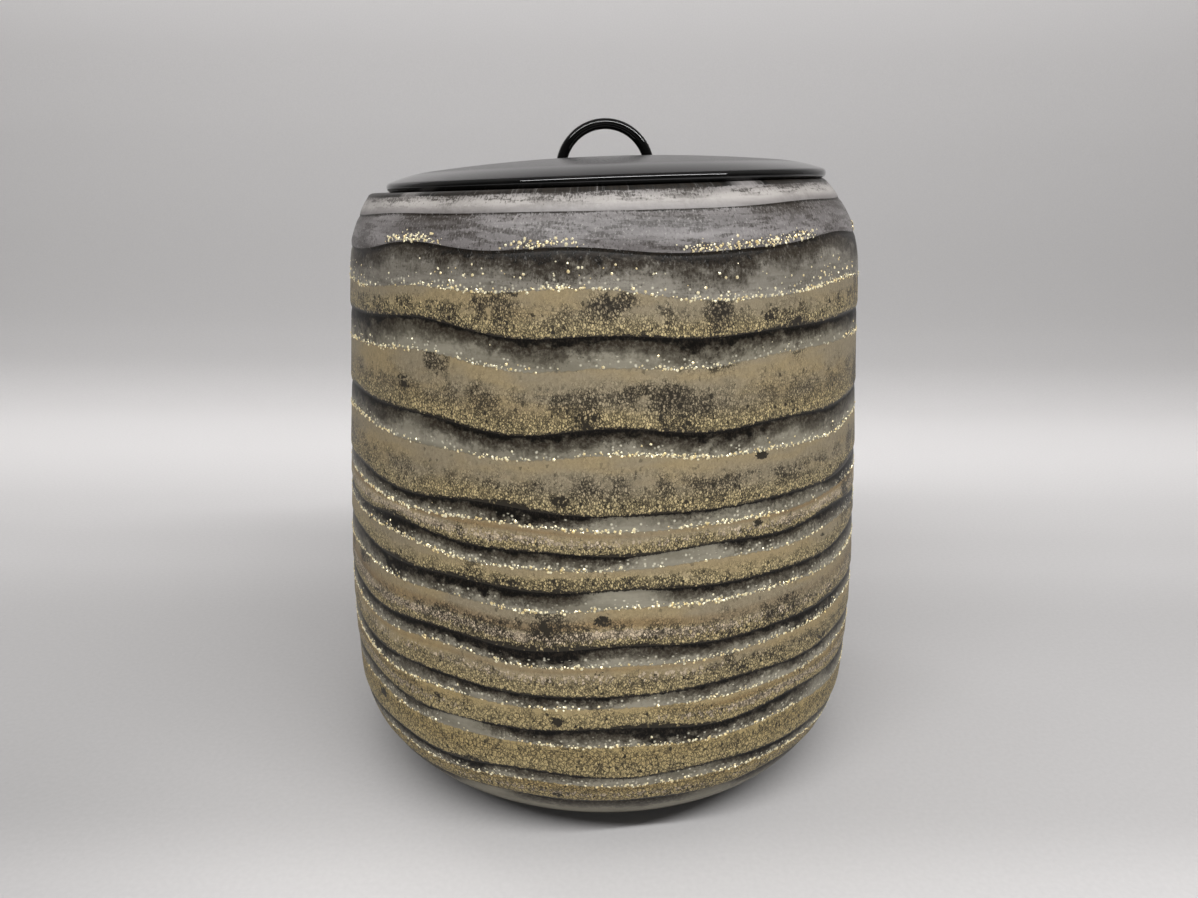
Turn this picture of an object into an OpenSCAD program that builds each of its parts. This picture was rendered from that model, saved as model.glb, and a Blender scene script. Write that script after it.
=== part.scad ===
// Water jar of thick blown glass with a lacquered wooden lid.
// The jar is one vessel. The lid is a turned board with a bent arch handle let into its crown.
// Z is up, the jar's foot stands on Z = 0 and its axis is the Z axis.

/* [Jar] */
// Greatest diameter, at the belly
body_d = 155; // [148:1:162]
// Height of the rim at the jar's axis
jar_h = 169.5; // [160:0.5:182]
// Height of the greatest diameter
belly_z = 52; // [45:1:60]
// Radius of the belly's curve in profile
belly_r = 370; // [280:10:460]
// Lean of the straight wall above the belly, in degrees
wall_taper = 3.25; // [2:0.25:4]
// Radius of the shoulder's curve in profile
shoulder_r = 34; // [31:0.5:38]
// Radius of the heel's curve in profile
heel_r = 31; // [27:0.5:36]
// Depth ground off the rounded bottom to make the foot flat
foot_grind = 0.4; // [0.2:0.1:1]
// Diameter of the shallow polished hollow under the foot
hollow_d = 62; // [40:1:80]
// Depth of that hollow at its middle
hollow_depth = 1.5; // [0.5:0.1:2.5]
// Thickness of the wall
wall_t = 5.5; // [4:0.25:7]
// Thickness of the floor
floor_t = 9; // [6:0.5:14]
// Radius of the inside corner between the floor and the wall
inner_heel_r = 24; // [18:1:30]

/* [Mouth] */
// Distance that the ground rim's outer edge lies inside the belly's greatest radius
rim_inset = 13.5; // [11:0.5:17]
// Width of the lip, from the rim's outer edge to the mouth
lip_w = 7.2; // [6:0.2:9]
// Slope of the ground rim, which rises towards +X, in degrees
rim_tilt = 2.3; // [0:0.1:2.5]
// Rounding of the lip's inner edge
lip_round = 1.5; // [0.5:0.1:2]
// Rounding of the lip's outer edge
rim_round = 2.5; // [1:0.1:4]

/* [Lid] */
// Distance that the lid's edge stays inside the rim's outer edge
lid_margin = 2; // [1:0.1:3.5]
// Height of the lid's crown above the rim
crown_h = 7.9; // [7:0.1:10]
// Fall of the crown's curve from its middle out to the lid's edge
crown_drop = 4.18; // [3:0.02:5]
// Radius of the curve that falls from the crown to the edge
fall_r = 49; // [35:1:65]
// Thickness of the lid's rounded edge
lid_edge_t = 2.6; // [2:0.1:3.2]
// Thickness of the board at its middle
board_t = 6.2; // [5.4:0.1:7]
// Depth of the ring that drops into the mouth
ring_depth = 5; // [3:0.5:8]
// Width of that ring
ring_w = 5; // [3:0.5:8]
// Bevel on the ring's lower edges
ring_bevel = 0.8; // [0.3:0.1:1.2]
// Rounding in the corner under the board, inside the ring
hollow_round = 1.6; // [0.5:0.1:1.8]
// Gap between the ring and the mouth when the lid lies centred
ring_clearance = 3; // [2:0.1:3.4]
// Gap left between them on the +X side, towards which the lid has slid
lid_gap = 0.4; // [0.3:0.1:1.2]

/* [Handle] */
// Outer width of the arch where it meets the crown
handle_w = 27.4; // [22:0.2:34]
// Height of the arch above the crown
handle_h = 10.4; // [9:0.1:13]
// Thickness of the rod, seen from the front
rod_t = 3; // [2.4:0.1:3.6]
// Depth of the rod, from front to back
rod_w = 4.4; // [3.8:0.1:6]
// Length of each foot that is let into the board
foot_l = 3.2; // [2:0.1:3.8]
// Glue line around each foot
glue_gap = 0.05; // [0.03:0.01:0.1]

/* [Hidden] */
$fa = 1;
$fs = 0.4;

// Half widths
body_rad = body_d / 2;
rim_rad = body_rad - rim_inset;
mouth_rad = rim_rad - lip_w;
lid_rad = rim_rad - lid_margin;
ring_rad = mouth_rad - ring_clearance;

// Distance that the lid lies off the mouth's centre, towards +X
lid_shift = ring_clearance - lid_gap;

// A length past every surface, for tools that cut right through
reach = body_d + jar_h;

// Longest chord and greatest turn between two points of an arc in a profile
arc_chord = 2;
arc_turn = 15;

// Profile of the wall: the belly's centre, the unit vector square to the leaning wall,
// the point where the belly runs out into that wall, and the shoulder's centre, which
// puts the shoulder through the rim's outer edge
belly_c = [body_rad - belly_r, belly_z];
wall_out = heading(wall_taper);
wall_up = heading(wall_taper + 90);
wall_start = belly_c + belly_r * wall_out;
rim_edge = [rim_rad, jar_h];
shoulder_c = along_to_reach(wall_start - shoulder_r * wall_out, wall_up, rim_edge, shoulder_r);

// The rim is cut on a slope, so its outline lies a little to the low side of the axis
rim_rise = rim_edge - shoulder_c;
rim_shift = -rim_rad * tan(rim_tilt) * rim_rise[1] / rim_rise[0];
rim_fall_angle = 90 - angle_of(rim_rise);
// The outer rounding starts nearer the edge than a full fillet would, so it meets the shoulder at a clear angle
fillet_share = 0.8;
rim_round_inset = fillet_share * rim_round * tan(rim_fall_angle / 2);
// The bore runs down to where the inside of the shoulder is wider than the mouth
bore_l = shoulder_r / 2;

// Lid profile: centres of the crown, the rounded edge and the fall between them
edge_rad = lid_edge_t / 2;
crown_r = (pow(lid_rad, 2) + pow(crown_drop, 2)) / (2 * crown_drop);
crown_c = [0, crown_h - crown_r];
edge_c = [lid_rad - edge_rad, edge_rad];
fall_c = circles_meet(crown_c, crown_r - fall_r, edge_c, fall_r - edge_rad);
under_z = crown_h - board_t;

// The arch is part of a circle whose chord is the handle's width at the crown
handle_rad = (pow(handle_w / 2, 2) + pow(handle_h, 2)) / (2 * handle_h);
handle_z = crown_h + handle_h - handle_rad;

function unit(v) = v / norm(v);

function heading(angle) = [cos(angle), sin(angle)];

function angle_of(v) = atan2(v[1], v[0]);

// Point at a given distance from a target, on the line from start in a direction, nearer end first
function along_to_reach(start, direction, target, distance) =
    let (
        gap = start - target,
        along = gap * direction,
        run = -along - sqrt(along * along - gap * gap + distance * distance)
    )
    start + run * direction;

// Lower meeting point of two circles
function circles_meet(c1, r1, c2, r2) =
    let (
        span = norm(c2 - c1),
        ahead = unit(c2 - c1),
        side = [ahead[1], -ahead[0]],
        forward = (span * span + r1 * r1 - r2 * r2) / (2 * span),
        aside = sqrt(r1 * r1 - forward * forward)
    )
    c1 + forward * ahead - aside * side;

// Points along an arc from one angle to another, without its first point
function arc(centre, radius, from, to) =
    let (
        sweep = to - from,
        length = radius * abs(sweep) * PI / 180,
        steps = ceil(max(length / arc_chord, abs(sweep) / arc_turn))
    )
    [for (i = [1:steps]) centre + radius * heading(from + sweep * i / steps)];

// Half section of the blown form, from the axis out, set in from the outer surface
module blown_section(inset, floor_z, heel, heel_z) {
    belly = belly_r - inset;
    shoulder = shoulder_r - inset;
    heel_reach = sqrt(pow(belly - heel, 2) - pow(belly_z - heel_z, 2));
    heel_c = [belly_c[0] + heel_reach, heel_z];
    heel_start = asin((floor_z - heel_z) / heel);
    heel_end = angle_of(heel_c - belly_c);
    polygon(concat(
        [[0, floor_z], heel_c + heel * heading(heel_start)],
        arc(heel_c, heel, heel_start, heel_end),
        arc(belly_c, belly, heel_end, wall_taper),
        [shoulder_c + shoulder * heading(wall_taper)],
        arc(shoulder_c, shoulder, wall_taper, 90),
        [[0, shoulder_c[1] + shoulder]]
    ));
}

// Shallow spherical hollow under the foot
module foot_hollow() {
    ball = (pow(hollow_d / 2, 2) + pow(hollow_depth, 2)) / (2 * hollow_depth);
    translate([0, 0, hollow_depth - ball])
        sphere(ball);
}

// Puts a shape on the ground rim, with its Z axis square to the rim
module at_rim() {
    translate([0, 0, jar_h])
        rotate([0, -rim_tilt, 0])
            translate([rim_shift, 0, 0])
                children();
}

// Section of all that is ground away at the mouth: above the rim, down the bore, and off the lip's edges
module mouth_section() {
    round_c = [rim_rad - rim_round_inset, -rim_round];
    round_end = 90 - rim_fall_angle;
    clear = round_c + 2 * rim_round * heading(round_end);
    polygon(concat(
        [[0, -bore_l], [mouth_rad, -bore_l], [mouth_rad, -lip_round]],
        arc([mouth_rad + lip_round, -lip_round], lip_round, 180, 90),
        [[round_c[0], 0]],
        arc(round_c, rim_round, 90, round_end),
        [clear, [clear[0], reach], [0, reach]]
    ));
}

module jar() {
    color([0.57, 0.52, 0.41])
        difference() {
            rotate_extrude()
                blown_section(0, 0, heel_r, heel_r - foot_grind);
            rotate_extrude()
                blown_section(wall_t, floor_t, inner_heel_r, floor_t + inner_heel_r);
            foot_hollow();
            at_rim()
                rotate_extrude()
                    mouth_section();
        }
}

// Puts a shape where the lid lies on the rim
module at_lid() {
    at_rim()
        translate([lid_shift, 0, 0])
            children();
}

// Half section of the lid: crown, fall, rounded edge, seat, ring and the hollow turned out below
module lid_section() {
    inner = ring_rad - ring_w;
    crown_end = angle_of(fall_c - crown_c);
    fall_end = angle_of(edge_c - fall_c);
    polygon(concat(
        [[0, crown_h]],
        arc(crown_c, crown_r, 90, crown_end),
        arc(fall_c, fall_r, crown_end, fall_end),
        arc(edge_c, edge_rad, fall_end, -90),
        [[ring_rad, 0], [ring_rad, ring_bevel - ring_depth]],
        [[ring_rad - ring_bevel, -ring_depth], [inner + ring_bevel, -ring_depth]],
        [[inner, ring_bevel - ring_depth], [inner, under_z - hollow_round]],
        arc([inner - hollow_round, under_z - hollow_round], hollow_round, 0, 90),
        [[0, under_z]]
    ));
}

// Bent rod of the handle with its two feet, grown all round by a margin
module arch(margin) {
    foot_z = crown_h - foot_l - margin;
    straight = rod_w - rod_t;
    intersection() {
        translate([0, 0, handle_z])
            rotate([90, 0, 0])
                rotate_extrude()
                    translate([handle_rad - rod_t / 2, 0]) {
                        square([rod_t + 2 * margin, straight], center = true);
                        for (end = [-1, 1])
                            translate([0, end * straight / 2])
                                circle(rod_t / 2 + margin);
                    }
        translate([-handle_w, -handle_w, foot_z])
            cube([2 * handle_w, 2 * handle_w, handle_rad + handle_w]);
    }
}

module lid_board() {
    color([0.07, 0.07, 0.08])
        at_lid()
            difference() {
                rotate_extrude()
                    lid_section();
                arch(glue_gap);
            }
}

module lid_handle() {
    color([0.1, 0.1, 0.11])
        at_lid()
            arch(0);
}

jar();
lid_board();
lid_handle();
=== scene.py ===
"""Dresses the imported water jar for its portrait.

A thick blown glass jar wound with bands of gold leaf, its lid of black lacquer, and the pale light
tent that it stands in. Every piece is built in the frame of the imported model. Sizes are in
millimetres unless a name says otherwise, and meshes are written in metres.
"""

import logging
import math
from dataclasses import dataclass
from enum import Enum
from functools import cached_property

import bpy
import numpy as np
from mathutils import Matrix, Vector
from numpy.typing import NDArray

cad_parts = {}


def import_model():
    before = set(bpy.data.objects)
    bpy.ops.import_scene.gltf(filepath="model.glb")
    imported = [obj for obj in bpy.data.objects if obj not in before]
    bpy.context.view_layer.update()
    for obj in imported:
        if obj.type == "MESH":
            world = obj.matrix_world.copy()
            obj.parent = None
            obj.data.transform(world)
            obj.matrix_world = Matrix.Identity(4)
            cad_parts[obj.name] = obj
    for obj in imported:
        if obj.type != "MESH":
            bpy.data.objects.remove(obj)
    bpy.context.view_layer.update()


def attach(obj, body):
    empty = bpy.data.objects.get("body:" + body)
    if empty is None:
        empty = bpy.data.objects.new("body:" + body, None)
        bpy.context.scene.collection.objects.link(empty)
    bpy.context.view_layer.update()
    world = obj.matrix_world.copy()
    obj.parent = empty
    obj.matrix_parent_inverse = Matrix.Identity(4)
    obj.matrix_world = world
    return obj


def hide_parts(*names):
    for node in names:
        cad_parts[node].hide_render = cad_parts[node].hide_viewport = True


LOG = logging.getLogger("water_jar")

MM = 0.001
FULL_TURN = 2 * math.pi
RIGHT_ANGLE = math.pi / 2
GLASS_IOR = 1.5
PHOTO_WIDTH_PX = 1198

Array = NDArray[np.float64]
Marks = dict[str, Array]
Colour = tuple[float, float, float, float]
Triple = tuple[float, float, float]
Node = bpy.types.Node
Socket = bpy.types.NodeSocket


def tint(red: int, green: int, blue: int) -> Colour:
    """Gives the linear colour of three 8-bit screen values, as a shader socket takes it."""
    shares = [value / 255 for value in (red, green, blue)]
    linear = [s / 12.92 if s <= 0.04045 else ((s + 0.055) / 1.055) ** 2.4 for s in shares]
    return linear[0], linear[1], linear[2], 1.0


def smoothstep(value: Array, low: float, high: float) -> Array:
    """Eases an array from 0 at low to 1 at high."""
    share = np.clip((value - low) / (high - low), 0.0, 1.0)
    return share * share * (3.0 - 2.0 * share)


def bell(distance: Array, width: float) -> Array:
    """Gives a bell curve that is 1 at no distance and falls off over a width."""
    return np.exp(-((distance / width) ** 2))


def turn_from(angle: Array, centre: float) -> Array:
    """Gives how far angles lie from a centre, from half a turn back to half a turn on."""
    return (angle - centre + math.pi) % FULL_TURN - math.pi


def heading(angle: float) -> Array:
    """Gives the unit vector at an angle in radians."""
    return np.array([math.cos(angle), math.sin(angle)])


def angle_of(vector: Array) -> float:
    """Gives the angle of a vector in radians."""
    return math.atan2(vector[1], vector[0])


def lengths(points: Array) -> Array:
    """Gives the distance along a line of points, from its first one."""
    return np.concatenate([[0.0], np.cumsum(np.linalg.norm(np.diff(points, axis=0), axis=1))])


def along_line(at: Array, along: Array, line: Array) -> Array:
    """Gives the points of a line at distances along it."""
    return np.column_stack([np.interp(at, along, line[:, 0]), np.interp(at, along, line[:, 1])])


def arc_points(centre: Array, radius: float, start: float, end: float, step: float) -> Array:
    """Samples an arc.

    Args:
        centre: Centre of the arc.
        radius: Its radius.
        start: First angle in radians.
        end: Last angle in radians.
        step: Longest chord between two points.

    Returns:
        The points in order, both ends included.
    """
    count = max(2, math.ceil(radius * abs(end - start) / step) + 1)
    angles = np.linspace(start, end, count)
    return centre + radius * np.column_stack([np.cos(angles), np.sin(angles)])


def wander(angle: Array, orders: tuple[int, ...], chance: np.random.Generator) -> Array:
    """Makes a soft random line that closes on itself.

    Args:
        angle: Angles round the jar.
        orders: How many waves each part of the line has round the jar.
        chance: Source of the phases and strengths.

    Returns:
        Heights of the line, mostly between -1 and 1.
    """
    line = np.zeros_like(angle)
    for order in orders:
        line += chance.uniform(0.4, 1.0) * np.sin(order * angle + chance.uniform(0, FULL_TURN))
    return line / math.sqrt(len(orders))


class Value:
    """A number that nodes work out, for use with the signs of plain arithmetic."""

    def __init__(self, sheet: "NodeSheet", socket: Socket) -> None:
        """Keeps a socket and the sheet that its node is on."""
        self.sheet = sheet
        self.socket = socket

    def __add__(self, other: "Value | float") -> "Value":
        """Adds a number."""
        return self.sheet.math("ADD", self, other)

    def __sub__(self, other: "Value | float") -> "Value":
        """Takes a number away."""
        return self.sheet.math("SUBTRACT", self, other)

    def __rsub__(self, other: float) -> "Value":
        """Takes this away from a number."""
        return self.sheet.math("SUBTRACT", other, self)

    def __mul__(self, other: "Value | float") -> "Value":
        """Multiplies by a number."""
        return self.sheet.math("MULTIPLY", self, other)

    def __truediv__(self, other: "Value | float") -> "Value":
        """Divides by a number."""
        return self.sheet.math("DIVIDE", self, other)

    def __abs__(self) -> "Value":
        """Drops the sign."""
        return self.sheet.math("ABSOLUTE", self)


Input = Value | Socket | float | int | str | tuple[float, ...] | bpy.types.ID
Inputs = dict[str | int, Input]


class NodeSheet:
    """Writes nodes into one tree and wires them together."""

    def __init__(self, tree: bpy.types.NodeTree) -> None:
        """Starts on a cleared tree."""
        tree.nodes.clear()
        self.tree = tree

    def feed(self, socket: Socket, value: Input) -> None:
        """Links a socket to another one, or sets its own value."""
        source = value.socket if isinstance(value, Value) else value
        if isinstance(source, bpy.types.NodeSocket):
            self.tree.links.new(source, socket)
        else:
            socket.default_value = source

    def add(self, kind: str, inputs: Inputs | None = None, **settings: object) -> Node:
        """Adds a node.

        Args:
            kind: Blender's name for the type of node.
            inputs: What each input takes, by name or place.
            **settings: The node's own settings.

        Returns:
            The new node.
        """
        node = self.tree.nodes.new(kind)
        for name, value in settings.items():
            setattr(node, name, value)
        for key, value in (inputs or {}).items():
            self.feed(node.inputs[key], value)
        return node

    def first(self, kind: str, inputs: Inputs | None = None, **settings: object) -> Socket:
        """Adds a node and gives its first output."""
        return self.add(kind, inputs, **settings).outputs[0]

    def math(self, operation: str, *terms: Input) -> Value:
        """Adds a Math node on one to three terms."""
        return Value(self, self.first("ShaderNodeMath", dict(enumerate(terms)), operation=operation))

    def least(self, first: Input, second: Input) -> Value:
        """Adds the smaller of two numbers."""
        return self.math("MINIMUM", first, second)

    def most(self, first: Input, second: Input) -> Value:
        """Adds the greater of two numbers."""
        return self.math("MAXIMUM", first, second)

    def vector(self, operation: str, *terms: Input) -> Socket:
        """Adds a Vector Math node on one to three terms."""
        return self.first("ShaderNodeVectorMath", dict(enumerate(terms)), operation=operation)

    def smooth(self, value: Input, low: Input, high: Input) -> Value:
        """Adds a smooth step that runs from 0 at low to 1 at high."""
        inputs = {"Value": value, "From Min": low, "From Max": high}
        return Value(self, self.first("ShaderNodeMapRange", inputs, interpolation_type="SMOOTHSTEP"))

    def fade(self, value: Input, low: Input, high: Input) -> Value:
        """Adds a smooth step that runs from 1 at low to 0 at high."""
        return 1.0 - self.smooth(value, low, high)

    def spread(self, value: Input, low: Input, high: Input) -> Value:
        """Adds a straight map from the span 0 to 1 onto the span low to high."""
        return Value(self, self.first("ShaderNodeMapRange", {"Value": value, "To Min": low, "To Max": high}))

    def mix(self, factor: Input, first: Input, second: Input, blend: str = "MIX") -> Socket:
        """Adds a mix of two colours."""
        inputs = {0: factor, 6: first, 7: second}
        return self.add("ShaderNodeMix", inputs, data_type="RGBA", blend_type=blend).outputs[2]

    def shade(self, level: Value) -> Socket:
        """Adds the grey of a level."""
        return self.first("ShaderNodeCombineColor", {0: level, 1: level, 2: level})

    def parts(self, vector: Socket) -> list[Value]:
        """Adds the three parts of a vector."""
        return [Value(self, part) for part in self.add("ShaderNodeSeparateXYZ", {0: vector}).outputs]

    def shares(self, colour: Socket) -> list[Value]:
        """Adds the three shares of a colour."""
        return [Value(self, part) for part in self.add("ShaderNodeSeparateColor", {0: colour}).outputs]

    def noise(self, place: Socket, scale: float, detail: float = 2.0, roughness: float = 0.5,
              stretch: Triple | None = None) -> Value:
        """Adds a cloud texture.

        Args:
            place: Where on the surface.
            scale: How fine the clouds are.
            detail: How many finer layers lie over them.
            roughness: How strong those are.
            stretch: What each axis is multiplied by first.

        Returns:
            The cloud's value.
        """
        at = self.vector("MULTIPLY", place, stretch) if stretch else place
        inputs = {"Vector": at, "Scale": scale, "Detail": detail, "Roughness": roughness}
        return Value(self, self.add("ShaderNodeTexNoise", inputs).outputs["Fac"])

    def cells(self, place: Socket, scale: float) -> tuple[Value, Socket]:
        """Adds a cell texture, and gives the distance from each cell's middle and its own random colour."""
        outputs = self.add("ShaderNodeTexVoronoi", {"Vector": place, "Scale": scale}, feature="F1").outputs
        return Value(self, outputs["Distance"]), outputs["Color"]

    def cracks(self, place: Socket, scale: float) -> Value:
        """Adds the distance from the nearest crack between cells."""
        inputs = {"Vector": place, "Scale": scale}
        outputs = self.add("ShaderNodeTexVoronoi", inputs, feature="DISTANCE_TO_EDGE").outputs
        return Value(self, outputs["Distance"]) / scale


class SurfaceSheet(NodeSheet):
    """The nodes of a material with one Principled surface."""

    def __init__(self, name: str, inputs: Inputs) -> None:
        """Starts the material with values that are the same all over it."""
        self.material = bpy.data.materials.new(name)
        self.material.use_nodes = True
        super().__init__(self.material.node_tree)
        self.surface = self.add("ShaderNodeBsdfPrincipled", inputs)
        self.add("ShaderNodeOutputMaterial", {"Surface": self.surface.outputs[0]})

    def show(self, name: str, value: Input) -> None:
        """Feeds one input of the surface."""
        self.feed(self.surface.inputs[name], value)

    def emboss(self, height: Value, strength: float, distance: float) -> None:
        """Roughens the surface by a height of at most a distance."""
        inputs = {"Strength": strength, "Distance": distance * MM, "Height": height}
        self.show("Normal", self.first("ShaderNodeBump", inputs))

    def mark(self, name: str) -> Socket:
        """Reads a vector that the mesh carries."""
        return self.add("ShaderNodeAttribute", attribute_name=name).outputs["Vector"]

    def object_mm(self) -> Socket:
        """Adds the place on the object, in millimetres."""
        place = self.add("ShaderNodeTexCoord").outputs["Object"]
        return self.vector("MULTIPLY", place, (1 / MM, 1 / MM, 1 / MM))


def new_group(name: str, kind: str, inputs: dict[str, str], outputs: dict[str, str]) -> bpy.types.NodeTree:
    """Starts a node group.

    Args:
        name: Name of the group.
        kind: Blender's name for the type of tree.
        inputs: Type of each input by its name.
        outputs: Type of each output by its name.

    Returns:
        The empty group.
    """
    group = bpy.data.node_groups.new(name, kind)
    for side, sockets in (("INPUT", inputs), ("OUTPUT", outputs)):
        for label, socket_type in sockets.items():
            group.interface.new_socket(label, in_out=side, socket_type=f"NodeSocket{socket_type}")
    return group


class TreeSheet(NodeSheet):
    """A tree of geometry nodes that takes a mesh, named inputs and a material, and ends in plain faces."""

    def __init__(self, name: str, inputs: dict[str, str]) -> None:
        """Starts the tree with inputs of the given types."""
        sockets = {"Geometry": "Geometry", **inputs, "Material": "Material"}
        super().__init__(new_group(name, "GeometryNodeTree", sockets, {"Geometry": "Geometry"}))
        self.source = self.add("NodeGroupInput").outputs

    def number(self, name: str) -> Value:
        """Gives a named input as a number."""
        return Value(self, self.source[name])

    def mark(self, name: str) -> Socket:
        """Reads a vector that the mesh carries."""
        return self.first("GeometryNodeInputNamedAttribute", {"Name": name}, data_type="FLOAT_VECTOR")

    def chance(self, seed: int) -> Value:
        """Adds a random share from 0 to 1 for every point."""
        node = self.add("FunctionNodeRandomValue", {"Seed": seed}, data_type="FLOAT")
        return Value(self, next(socket for socket in node.outputs if socket.enabled))

    def close(self, geometry: Socket) -> None:
        """Ends the tree with real faces in the given material."""
        real = self.first("GeometryNodeRealizeInstances", {"Geometry": geometry})
        inputs = {"Geometry": real, "Material": self.source["Material"]}
        self.add("NodeGroupOutput", {"Geometry": self.first("GeometryNodeSetMaterial", inputs)})

    def run(self, piece: bpy.types.Object, values: Inputs) -> None:
        """Runs the tree on a piece and keeps the result as its plain mesh.

        Args:
            piece: Object whose mesh goes into the tree.
            values: What each named input takes.
        """
        modifier = piece.modifiers.new(self.tree.name, "NODES")
        modifier.node_group = self.tree
        for item in self.tree.interface.items_tree:
            if item.in_out == "INPUT" and item.name in values:
                modifier[item.identifier] = values[item.name]
        graph = bpy.context.evaluated_depsgraph_get()
        mesh = bpy.data.meshes.new_from_object(piece.evaluated_get(graph))
        piece.modifiers.clear()
        piece.data = mesh
        mesh.name = piece.name


def new_piece(name: str, mesh: bpy.types.Mesh) -> bpy.types.Object:
    """Links a mesh into the scene as an object at the origin."""
    piece = bpy.data.objects.new(name, mesh)
    bpy.context.scene.collection.objects.link(piece)
    return piece


@dataclass(frozen=True)
class RimFrame:
    """The sloping plane of the ground rim, on which the lid lies."""

    height: float = 169.5
    slope: float = math.radians(2.3)
    shift: float = -2.299

    def place(self, points: Array) -> Array:
        """Moves points from the rim's own frame into the jar's frame."""
        across, up = points[..., 0] + self.shift, points[..., 2]
        out = np.array(points, float)
        out[..., 0] = across * math.cos(self.slope) - up * math.sin(self.slope)
        out[..., 2] = across * math.sin(self.slope) + up * math.cos(self.slope) + self.height
        return out

    def above(self, points: Array) -> Array:
        """Gives how far points of the jar's frame lie above the rim."""
        rise = points[..., 2] - self.height
        return rise * math.cos(self.slope) - points[..., 0] * math.sin(self.slope)

    def matrix(self, across: float) -> Matrix:
        """Gives the transform, in metres, of a piece that lies on the rim, moved along its slope."""
        turn = Matrix.Rotation(-self.slope, 4, "Y")
        slide = Matrix.Translation((MM * (self.shift + across), 0.0, 0.0))
        return Matrix.Translation((0.0, 0.0, MM * self.height)) @ turn @ slide


@dataclass(frozen=True)
class BlownProfile:
    """Half section of the blown wall: heel, belly, leaning wall and shoulder, each tangent to the next."""

    body_d: float = 155.0
    jar_h: float = 169.5
    rim_d: float = 128.0
    belly_z: float = 52.0
    belly_r: float = 370.0
    wall_taper: float = math.radians(3.25)
    shoulder_r: float = 34.0
    heel_r: float = 31.0
    foot_grind: float = 0.4
    wall_t: float = 5.5
    floor_t: float = 9.0
    inner_heel_r: float = 24.0
    step: float = 0.25

    @cached_property
    def belly_c(self) -> Array:
        """Centre of the belly's curve."""
        return np.array([self.body_d / 2 - self.belly_r, self.belly_z])

    @cached_property
    def rim_edge(self) -> Array:
        """The rim's outer edge."""
        return np.array([self.rim_d / 2, self.jar_h])

    @cached_property
    def shoulder_c(self) -> Array:
        """Centre of the shoulder's curve, which puts it through the rim's outer edge."""
        out, up = heading(self.wall_taper), heading(self.wall_taper + RIGHT_ANGLE)
        start = self.belly_c + (self.belly_r - self.shoulder_r) * out
        gap = start - self.rim_edge
        along = gap @ up
        return start - (along + math.sqrt(along**2 - gap @ gap + self.shoulder_r**2)) * up

    @cached_property
    def rim_fall(self) -> float:
        """Angle by which the shoulder falls away at the rim's outer edge."""
        return RIGHT_ANGLE - angle_of(self.rim_edge - self.shoulder_c)

    def run(self, inset: float, floor_z: float, heel: float, heel_z: float) -> Array:
        """Samples the section closely from the floor up to the top of the shoulder.

        Args:
            inset: Distance of the section inside the outer wall.
            floor_z: Height at which the heel's curve starts.
            heel: Radius of the heel's curve.
            heel_z: Height of its centre.

        Returns:
            Points of radius and height.
        """
        belly, shoulder = self.belly_r - inset, self.shoulder_r - inset
        reach = math.sqrt((belly - heel) ** 2 - (self.belly_z - heel_z) ** 2)
        to_heel = np.array([reach, heel_z - self.belly_z])
        heel_start, heel_end = math.asin((floor_z - heel_z) / heel), angle_of(to_heel)
        curves = (
            arc_points(self.belly_c + to_heel, heel, heel_start, heel_end, self.step),
            arc_points(self.belly_c, belly, heel_end, self.wall_taper, self.step)[1:],
            arc_points(self.shoulder_c, shoulder, self.wall_taper, RIGHT_ANGLE, self.step),
        )
        return np.concatenate(curves)

    @cached_property
    def outer(self) -> Array:
        """Outer section, from the edge of the foot."""
        return self.run(0.0, 0.0, self.heel_r, self.heel_r - self.foot_grind)

    @cached_property
    def inner(self) -> Array:
        """Inner section, from the edge of the flat floor."""
        return self.run(self.wall_t, self.floor_t, self.inner_heel_r, self.floor_t + self.inner_heel_r)


class BandKind(Enum):
    """What one winding of the wall carries."""

    COLLAR = "pale bare glass under the rim"
    VEIL = "grey glass full of fine dark specks"
    LEAF = "gold leaf below a strip of grey glass"
    BARE = "plain glass above the foot"


@dataclass(frozen=True)
class Band:
    """One winding, from the lower edge of the winding above it down to its own.

    The height of its lower edge and its black line are in millimetres, the other values are shares:
    the grey strip, the leaf that covers the rest, the pale streak and its place, the flecks strewn
    over the grey, the lilac in the glass and the specks on it.
    """

    bottom: float
    kind: BandKind = BandKind.LEAF
    line: float = 0.8
    grey: float = 0.3
    cover: float = 0.8
    pale: float = 0.0
    pale_at: float = 0.25
    scatter: float = 0.1
    lilac: float = 0.0
    specks: float = 0.0


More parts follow.
